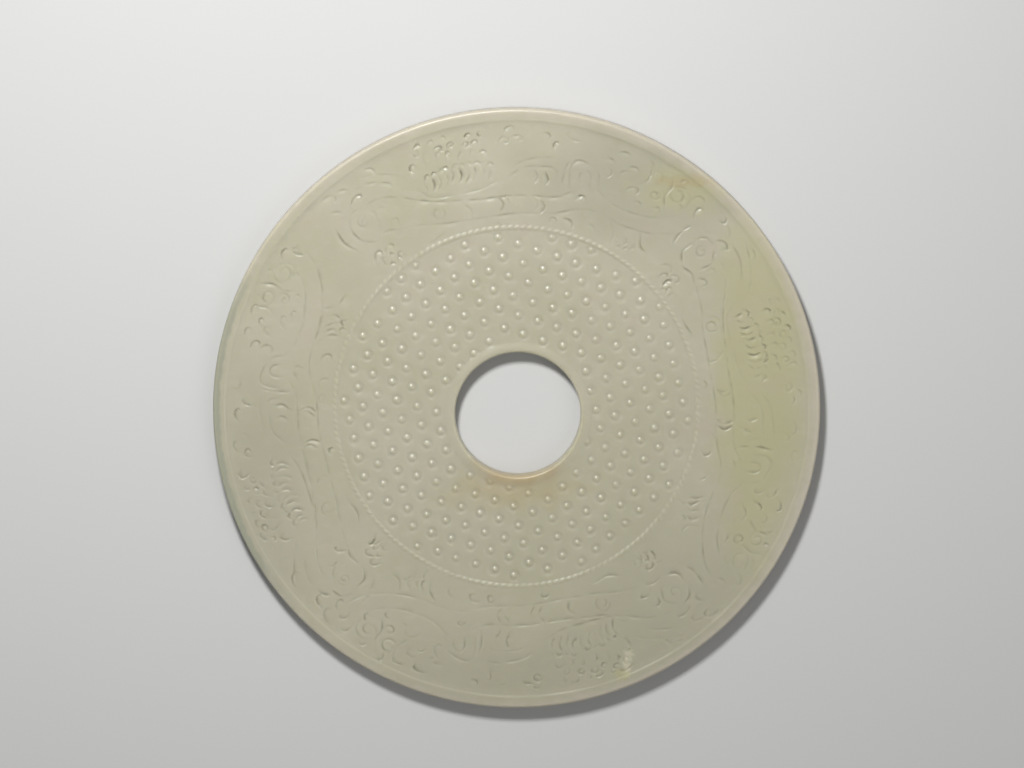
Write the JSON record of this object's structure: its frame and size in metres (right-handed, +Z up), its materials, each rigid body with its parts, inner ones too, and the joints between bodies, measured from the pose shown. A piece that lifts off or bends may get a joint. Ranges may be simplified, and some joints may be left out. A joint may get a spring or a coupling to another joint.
{
  "type": "jade bi disc",
  "caption": "Flat jade bi disc with an off-centre round hole, a field of grain bosses, a rope ring, an outer band of dragon lines and a plain rim.",
  "frame": {"origin": "centre of the underside, under the middle of the disc's outline", "axes": "+Z is up, out of the upper face; +Y points to the picture's top and +X to its right"},
  "size_m": [0.165, 0.165, 0.006],
  "materials": {
    "jade": "old soft polish, waxy, with olive and brown stains"
  },
  "bodies": {
    "root": {"bi_disc": "jade"}
  },
  "joints": []
}
